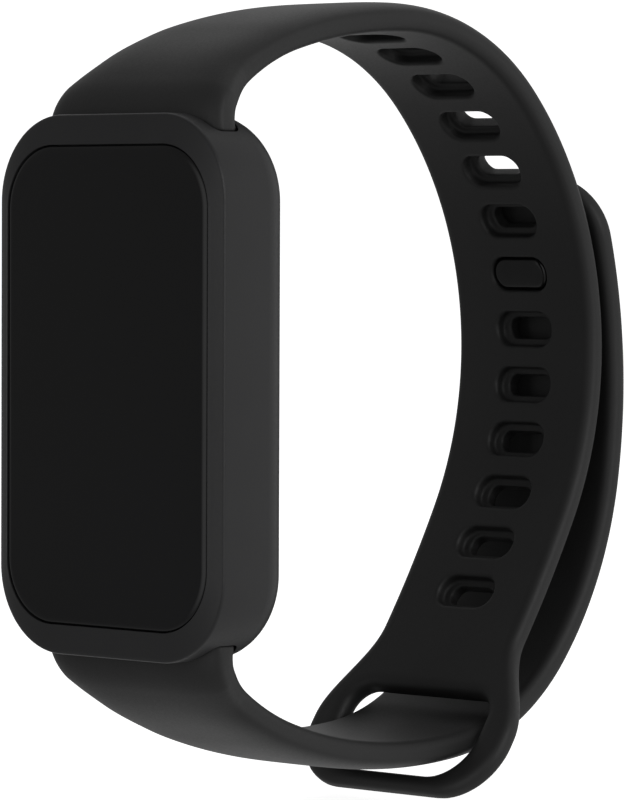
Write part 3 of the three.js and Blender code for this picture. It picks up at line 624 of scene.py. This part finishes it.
def pocket_cutter(end):
    """A strap pocket: straight walls with rounded corners, opening through the case's end."""
    half = (POCKET["rear_y"] - POCKET["front_y"]) / 2
    middle = (POCKET["rear_y"] + POCKET["front_y"]) / 2
    outline = rounded(POCKET["half_width"], half, POCKET["corner"], steps=8)
    rings = []
    for z, opened in ((POCKET["floor_z"], 0), *POCKET_MOUTH):
        rise = (POCKET_MOUTH_Y - POCKET["rear_y"]) * opened
        rings.append([(x, middle + y + (rise if y > 0 else 0), end * z) for x, y in outline])
    vertices, faces = skin(rings)
    return outward(new_object("cutter", mm(vertices), faces))


def cut_button_slot(shell, end, y0, y1):
    """Cuts the slot that a release button slides in."""
    levels = [(y, grown(BUTTON, BUTTON_GAP)) for y in (y0, y1)]
    combine(shell, y_loft("cutter", levels, z=end * BUTTON_Z, steps=10), "DIFFERENCE")


def make_housing():
    recess = grown(GLASS, GLASS_GAP)
    levels = [(RECESS_Y, recess), (2 * LIP_Y, recess)]
    levels += [(LIP_Y, grown(recess, by)) for by in (0.02, 0.06)]
    # The bezel slopes back to its rim with a slight crown.
    slope, crown = 0.42, 0.02
    for t in np.linspace(0.12, 0.9, 6):
        size = {key: (1 - t) * recess[key] + t * RIM[key] for key in RIM}
        levels.append((LIP_Y + slope * t - crown * math.sin(math.pi * t), size))
    # A small round leads over into the side wall.
    round_y, depth, reach = 0.82, 0.34, 0.22
    for angle in np.linspace(0.42, math.pi / 2, 7):
        size = grown(CASE, -reach * (1 - math.sin(angle)))
        levels.append((round_y - depth * math.cos(angle), size))
    levels.append((2.6, CASE))
    for y in (REAR_Y - REAR_RADIUS, 5.9, 6.3, 6.7, 7.0, 7.25, 7.42):
        levels.append((y, grown(CASE, -rear_round(y))))
    levels.append((SPLIT_Y, grown(CASE, -rear_round(SPLIT_Y) - SEAM)))
    shell = y_loft("case_shell", levels, steps=32)
    for size, y0, y1 in ((CAVITY, CAVITY_Y, SPLIT_Y + 1), (PANEL_OPENING, 0.5, CAVITY_Y + 0.1)):
        combine(shell, y_loft("cutter", [(y0, size), (y1, size)]), "DIFFERENCE")
    for end in (1, -1):
        combine(shell, pocket_cutter(end), "DIFFERENCE")
        cut_button_slot(shell, end, POCKET["rear_y"] - 1, SPLIT_Y + 1)
    dress(shade(shell, 28), SHELL, "root", "shell", "case_housing")


def make_back():
    levels = [(SPLIT_Y + 0.03, grown(CASE, -rear_round(SPLIT_Y) - SEAM))]
    for y in (7.6, 7.75, 7.9, 8.05, 8.18, 8.28, 8.35, 8.39):
        levels.append((y, grown(CASE, -rear_round(y))))
    levels.append((REAR_Y, grown(CASE, -REAR_RADIUS)))
    back = y_loft("back_shell", levels, steps=32)
    bump = [(BUMP_FOOT_Y, BUMP), (BUMP_SIDE_Y, BUMP)]
    for t in np.linspace(0.15, 1, 9):
        y = BUMP_SIDE_Y + (BUMP_Y - BUMP_SIDE_Y) * math.sin(t * math.pi / 2)
        bump.append((y, grown(BUMP, -BUMP_ROUND * (1 - math.cos(t * math.pi / 2)))))
    combine(back, y_loft("bump", bump, steps=32), "UNION")
    cuts = (
        (grown(BUMP, -BUMP_HOLLOW), SPLIT_Y - 1, BUMP_SIDE_Y, 24),
        (grown(WINDOW, -WINDOW_LEDGE), SPLIT_Y, BUMP_Y + 1, 24),
        (grown(WINDOW, FIT), WINDOW_FRONT_Y - 0.03, BUMP_Y + 1, 32),
    )
    for size, y0, y1, steps in cuts:
        combine(back, y_loft("cutter", [(y0, size), (y1, size)], steps=steps), "DIFFERENCE")
    for side in (1, -1):
        for radius, y0 in CONTACT_BORES:
            disc = dict(half_width=radius, half_height=radius, corner=radius - 1e-4)
            cutter = y_loft("cutter", [(y0, disc), (REAR_Y + 1, disc)], side * CONTACT_X, CONTACT_Z)
            combine(back, cutter, "DIFFERENCE")
        cut_button_slot(back, side, SPLIT_Y - 1, REAR_Y + 0.6)
    dress(shade(back, 28), SHELL, "root", "shell", "back_cover")


def make_glass():
    """Flat in the middle, falling away to its edge on a broad round."""
    reach, drop, chamfer = 0.6, 0.26, 0.04
    levels = []
    for angle in np.linspace(0, math.pi / 2, 9):
        levels.append((drop * (1 - math.cos(angle)), grown(GLASS, -reach * (1 - math.sin(angle)))))
    levels += [(GLASS_THICK - chamfer, GLASS), (GLASS_THICK, grown(GLASS, -chamfer))]
    glass = y_loft("front_glass", levels, steps=32)
    dress(shade(glass, 40), GLASS_FACE, "root", "glass_face", "cover_glass")


def make_window():
    chamfer = 0.03
    levels = [(WINDOW_FRONT_Y, grown(WINDOW, -chamfer)), (WINDOW_FRONT_Y + chamfer, WINDOW)]
    levels.append((WINDOW_SIDE_Y, WINDOW))
    for angle in np.linspace(0.2, math.pi / 2, 6):
        size = grown(WINDOW, -WINDOW_ROUND * (1 - math.cos(angle)))
        levels.append((WINDOW_SIDE_Y + WINDOW_ROUND * math.sin(angle), size))
    window = y_loft("sensor_lens", levels, steps=32)
    dress(shade(window, 40), WINDOW_CLEAR, "root", "window", "sensor_window")


def make_buttons():
    for name, end in (("upper", 1), ("lower", -1)):
        levels = [(BUTTON_FRONT_Y, BUTTON), (BUTTON_SIDE_Y, BUTTON)]
        for angle in np.linspace(0.2, math.pi / 2, 6):
            size = grown(BUTTON, -BUTTON_ROUND * (1 - math.cos(angle)))
            levels.append((BUTTON_SIDE_Y + BUTTON_ROUND * math.sin(angle), size))
        button = y_loft(name + "_button_cap", levels, z=end * BUTTON_Z, steps=12)
        node = name + "_release_button"
        dress(shade(button, 40), STIFF, name + "_release", "stiff_plastic", node)


def make_contacts():
    """Turned pins with a rounded head: the profile is (y, radius)."""
    sides = 48
    for name, side in (("left", -1), ("right", 1)):
        profile = [(7.25, 0.66), (7.29, 0.7), (8.02, 0.7), (8.02, 1.21), (8.05, 1.25), (8.3, 1.25)]
        for angle in np.linspace(0.3, math.pi / 2, 5):
            y = 8.3 + CONTACT_ROUND * math.sin(angle)
            profile.append((y, 1.12 + CONTACT_ROUND * math.cos(angle)))
        profile += [(8.44, 1.0), (8.45, 0.6)]
        turns = [2 * math.pi * i / sides for i in range(sides)]
        x = side * CONTACT_X
        rings = []
        for y, radius in profile:
            rings.append([
                (x + radius * math.cos(t), y, CONTACT_Z + radius * math.sin(t)) for t in turns
            ])
        vertices, faces = skin(rings)
        pin = outward(new_object(name + "_contact_pin", mm(vertices), faces))
        dress(shade(pin, 40), GOLD, "root", "contact", "charging_contact_" + name)


# ------------------------------------------------------------------ materials


class Nodes:
    """A material's node tree, with short ways to add and join nodes."""

    def __init__(self, name):
        self.material = bpy.data.materials.new(name)
        self.material.use_nodes = True
        self.tree = self.material.node_tree
        self.shader = self.tree.nodes["Principled BSDF"]
        self.place = self.add("ShaderNodeTexCoord").outputs["Object"]

    def add(self, kind, **settings):
        node = self.tree.nodes.new(kind)
        for key, value in settings.items():
            setattr(node, key, value)
        return node

    def link(self, a, b):
        self.tree.links.new(a, b)

    def noise(self, scale, detail=3.0):
        node = self.add("ShaderNodeTexNoise")
        node.inputs["Scale"].default_value = scale
        node.inputs["Detail"].default_value = detail
        self.link(self.place, node.inputs["Vector"])
        return node.outputs["Fac"]

    def span(self, value, low, high):
        """The middle of a noise's range, spread between two values."""
        node = self.add("ShaderNodeMapRange")
        numbers = {"From Min": 0.35, "From Max": 0.65, "To Min": low, "To Max": high}
        for key, number in numbers.items():
            node.inputs[key].default_value = number
        self.link(value, node.inputs["Value"])
        return node.outputs["Result"]

    def colours(self, value, dark, light):
        node = self.add("ShaderNodeMix", data_type="RGBA")
        node.inputs["A"].default_value = (*dark, 1)
        node.inputs["B"].default_value = (*light, 1)
        self.link(self.span(value, 0, 1), node.inputs["Factor"])
        return node.outputs["Result"]

    def bump(self, value, distance):
        node = self.add("ShaderNodeBump")
        node.inputs["Strength"].default_value = 1.0
        node.inputs["Distance"].default_value = distance
        self.link(value, node.inputs["Height"])
        return node.outputs["Normal"]


def surface(name, dark, light, rough, grain=2500.0, bump=0.00001, patch=120.0, **constants):
    """A moulded or plated finish: colour that varies in soft patches, a fine grain in both
    roughness and height, and the shader's own constants."""
    nodes = Nodes(name)
    shader = nodes.shader
    patches = nodes.noise(patch, 4.0)
    fine = nodes.noise(grain, 2.0)
    nodes.link(nodes.colours(patches, dark, light), shader.inputs["Base Color"])
    nodes.link(nodes.span(fine, rough[0], rough[1]), shader.inputs["Roughness"])
    nodes.link(nodes.bump(fine, bump), shader.inputs["Normal"])
    for key, value in constants.items():
        shader.inputs[key.replace("_", " ")].default_value = value
    return nodes.material


def grey(value, tint=0.0):
    return (value, value, value * (1 + tint))


SHELL = surface(
    "satin_black_case", grey(0.0205, 0.04), grey(0.0235, 0.04), (0.42, 0.48),
    grain=5200, bump=0.000004, Specular_IOR_Level=0.45,
)
STRAP = surface(
    "matte_black_elastomer", grey(0.0175), grey(0.0205), (0.52, 0.58),
    grain=5200, bump=0.000003, Specular_IOR_Level=0.5,
)
GLASS_FACE = surface(
    "black_backed_glass", grey(0.0085), grey(0.0095, 0.1), (0.03, 0.06),
    grain=60, bump=0.0, patch=30, Specular_IOR_Level=0.42,
)
GLOSS = surface(
    "glossy_black_stud", grey(0.008), grey(0.012), (0.12, 0.2), grain=900, bump=0.000004,
)
STIFF = surface(
    "black_engineering_plastic", grey(0.025), grey(0.034), (0.45, 0.6), grain=2200,
)
SEAL = surface("dull_black_seal", grey(0.010), grey(0.018), (0.75, 0.9), grain=1800)
PANEL = surface("dark_display_panel", grey(0.006), grey(0.010, 0.2), (0.08, 0.14), grain=300)
BACKLIGHT = surface("white_diffuser", grey(0.70, 0.03), grey(0.78, 0.02), (0.4, 0.55))
FILM = surface("amber_flex_film", (0.30, 0.12, 0.03), (0.48, 0.22, 0.06), (0.25, 0.4), grain=900)
FOIL = surface(
    "pouch_foil", grey(0.55, 0.03), grey(0.68, 0.03), (0.25, 0.42), grain=500,
    bump=0.00003, Metallic=1.0,
)
BOARD = surface(
    "green_solder_mask", (0.008, 0.07, 0.03), (0.02, 0.12, 0.05), (0.2, 0.35), patch=700,
)
CHIP = surface("moulded_epoxy", grey(0.014), grey(0.024), (0.45, 0.6), grain=4000)
STEEL = surface(
    "bright_steel", grey(0.48, 0.02), grey(0.62, 0.02), (0.2, 0.35), grain=1800, Metallic=1.0,
)
GOLD = surface(
    "gold_plating", (0.74, 0.50, 0.20), (0.86, 0.62, 0.28), (0.16, 0.28), grain=1500,
    bump=0.000004, Metallic=1.0,
)
WINDOW_CLEAR = surface(
    "dark_clear_window", grey(0.010), grey(0.016, 0.1), (0.05, 0.09), grain=80, bump=0.0,
)
LED = surface("led_encapsulant", (0.05, 0.32, 0.12), (0.12, 0.5, 0.2), (0.1, 0.2), patch=900)

CAD_FINISH = {
    "stiff_plastic": STIFF, "seal": SEAL, "panel": PANEL, "backlight": BACKLIGHT,
    "flex_film": FILM, "foil": FOIL, "board": BOARD, "chip": CHIP, "steel": STEEL, "led": LED,
}


def finish_cad_nodes():
    """The CAD nodes that stay get the finish of their material slot."""
    for part in frame["record"]["subparts"]:
        finish = CAD_FINISH.get(part["material_slot"])
        if finish:
            node = frame["nodes"][part["node"]]
            node.data.materials.clear()
            node.data.materials.append(finish)


# ------------------------------------------------------------------ room, light and camera


def make_room():
    """A pale floor that curves up into a round wall, the same from every side."""
    radius, height, bend, sides = 3.2, 3.0, 0.9, 96
    profile = [(r, 0.0) for r in (0.3, 1.0, radius - bend)]
    for angle in np.linspace(0, math.pi / 2, 16)[1:]:
        profile.append((radius - bend * (1 - math.sin(angle)), bend * (1 - math.cos(angle))))
    profile.append((radius, height))
    vertices = [(0, 0, 0)]
    faces = []
    for r, z in profile:
        for i in range(sides):
            turn = 2 * math.pi * i / sides
            vertices.append((r * math.cos(turn), r * math.sin(turn), z))
    for i in range(sides):
        faces.append((0, 1 + i, 1 + (i + 1) % sides))
    for level in range(len(profile) - 1):
        base = 1 + level * sides
        for i in range(sides):
            j = (i + 1) % sides
            faces.append((base + i, base + sides + i, base + sides + j, base + j))
    floor = shade(new_object("floor", vertices, faces))
    nodes = Nodes("pale_floor")
    mottle = nodes.noise(6.0)
    nodes.link(nodes.colours(mottle, grey(0.86), grey(0.88)), nodes.shader.inputs["Base Color"])
    nodes.shader.inputs["Roughness"].default_value = 0.9
    nodes.shader.inputs["Specular IOR Level"].default_value = 0.1
    nodes.shader.inputs["Emission Color"].default_value = (1, 1, 1, 1)
    nodes.shader.inputs["Emission Strength"].default_value = 0.9
    floor.data.materials.append(nodes.material)
    # The room is only looked at: the object takes its light from the world and the softboxes.
    floor.visible_diffuse = False
    floor.visible_glossy = False
    floor.visible_transmission = False
    floor.visible_shadow = False


def area_light(name, place, aim, size, power):
    data = bpy.data.lights.new(name, "AREA")
    data.shape = "RECTANGLE"
    data.size, data.size_y = size
    data.energy = power
    light = bpy.data.objects.new(name, data)
    light.location = place
    light.rotation_euler = (Vector(aim) - Vector(place)).to_track_quat("-Z", "Y").to_euler()
    bpy.context.scene.collection.objects.link(light)


# Broad washes of light: (direction they come from, where they begin and peak, strength there).
WASHES = [
    ((0.1, -1.0, 0.0), 0.72, 1.0, 0.64),
    ((0.9, 0.4, 0.0), 0.45, 1.0, 0.34),
    ((-0.45, 0.9, 0.0), 0.15, 1.0, 0.57),
    ((0.0, 0.0, -1.0), 0.35, 1.0, 0.17),
]
DIM_SIDE = 0.15


def make_light():
    """Soft light from straight ahead, the right, behind and below, over a dim even fill."""
    world = bpy.data.worlds.new("studio")
    world.use_nodes = True
    bpy.context.scene.world = world
    tree = world.node_tree
    direction = tree.nodes.new("ShaderNodeTexCoord").outputs["Generated"]
    total = None
    for toward, start, stop, strength in WASHES:
        dot = tree.nodes.new("ShaderNodeVectorMath")
        dot.operation = "DOT_PRODUCT"
        dot.inputs[1].default_value = Vector(toward).normalized()
        tree.links.new(direction, dot.inputs[0])
        wash = tree.nodes.new("ShaderNodeMapRange")
        wash.interpolation_type = "SMOOTHSTEP"
        numbers = {"From Min": start, "From Max": stop, "To Min": 0.0, "To Max": strength}
        for key, number in numbers.items():
            wash.inputs[key].default_value = number
        tree.links.new(dot.outputs["Value"], wash.inputs["Value"])
        add = tree.nodes.new("ShaderNodeMath")
        add.inputs[1].default_value = DIM_SIDE
        if total is not None:
            tree.links.new(total, add.inputs[1])
        tree.links.new(wash.outputs["Result"], add.inputs[0])
        total = add.outputs["Value"]
    background = tree.nodes["Background"]
    background.inputs["Color"].default_value = (1, 1, 1, 1)
    tree.links.new(total, background.inputs["Strength"])
    middle = (0, 0, 0.035)
    area_light("softbox_right", (0.9, -0.1, 0.35), middle, (0.5, 0.7), 2.0)
    area_light("softbox_top", (0.1, 0.2, 1.2), middle, (0.8, 0.8), 0.65)
    bpy.context.scene.view_settings.view_transform = "Standard"
    bpy.context.scene.view_settings.look = "None"


# A long lens, solved so that the case, the glass and the hole row fall where the photo has them.
CAMERA_TURN = math.radians(43.971)
CAMERA_RISE = math.radians(1.758)
CAMERA_ROLL = math.radians(0.219)
CAMERA_DISTANCE = 407.66
CAMERA_TARGET = np.array([0, 25.0, 0])
FOCAL_PIXELS = 4973.8
PICTURE = (624, 800)
TARGET_PIXEL = (326.3, 380.57)
SENSOR = 36.0


def make_camera():
    a, e, roll = CAMERA_TURN, CAMERA_RISE, CAMERA_ROLL
    back = np.array([math.sin(a) * math.cos(e), -math.cos(a) * math.cos(e), math.sin(e)])
    level = np.array([math.cos(a), math.sin(a), 0])
    upright = np.cross(back, level)
    right = level * math.cos(roll) + upright * math.sin(roll)
    up = -level * math.sin(roll) + upright * math.cos(roll)
    data = bpy.data.cameras.new("camera")
    long_side = max(PICTURE)
    data.sensor_width = SENSOR
    data.lens = FOCAL_PIXELS / long_side * SENSOR
    data.shift_x = (PICTURE[0] / 2 - TARGET_PIXEL[0]) / long_side
    data.shift_y = (TARGET_PIXEL[1] - PICTURE[1] / 2) / long_side
    data.clip_start, data.clip_end = 0.01, 20
    camera = bpy.data.objects.new("camera", data)
    bpy.context.scene.collection.objects.link(camera)
    camera.matrix_world = Matrix.Translation(mm([CAMERA_TARGET + back * CAMERA_DISTANCE])[0]) @ (
        Matrix((right, up, back)).transposed().to_4x4()
    )
    bpy.context.scene.camera = camera


make_camera()
make_light()
make_room()
make_housing()
make_back()
make_glass()
make_window()
make_buttons()
make_contacts()
make_straps()
make_stud()
finish_cad_nodes()
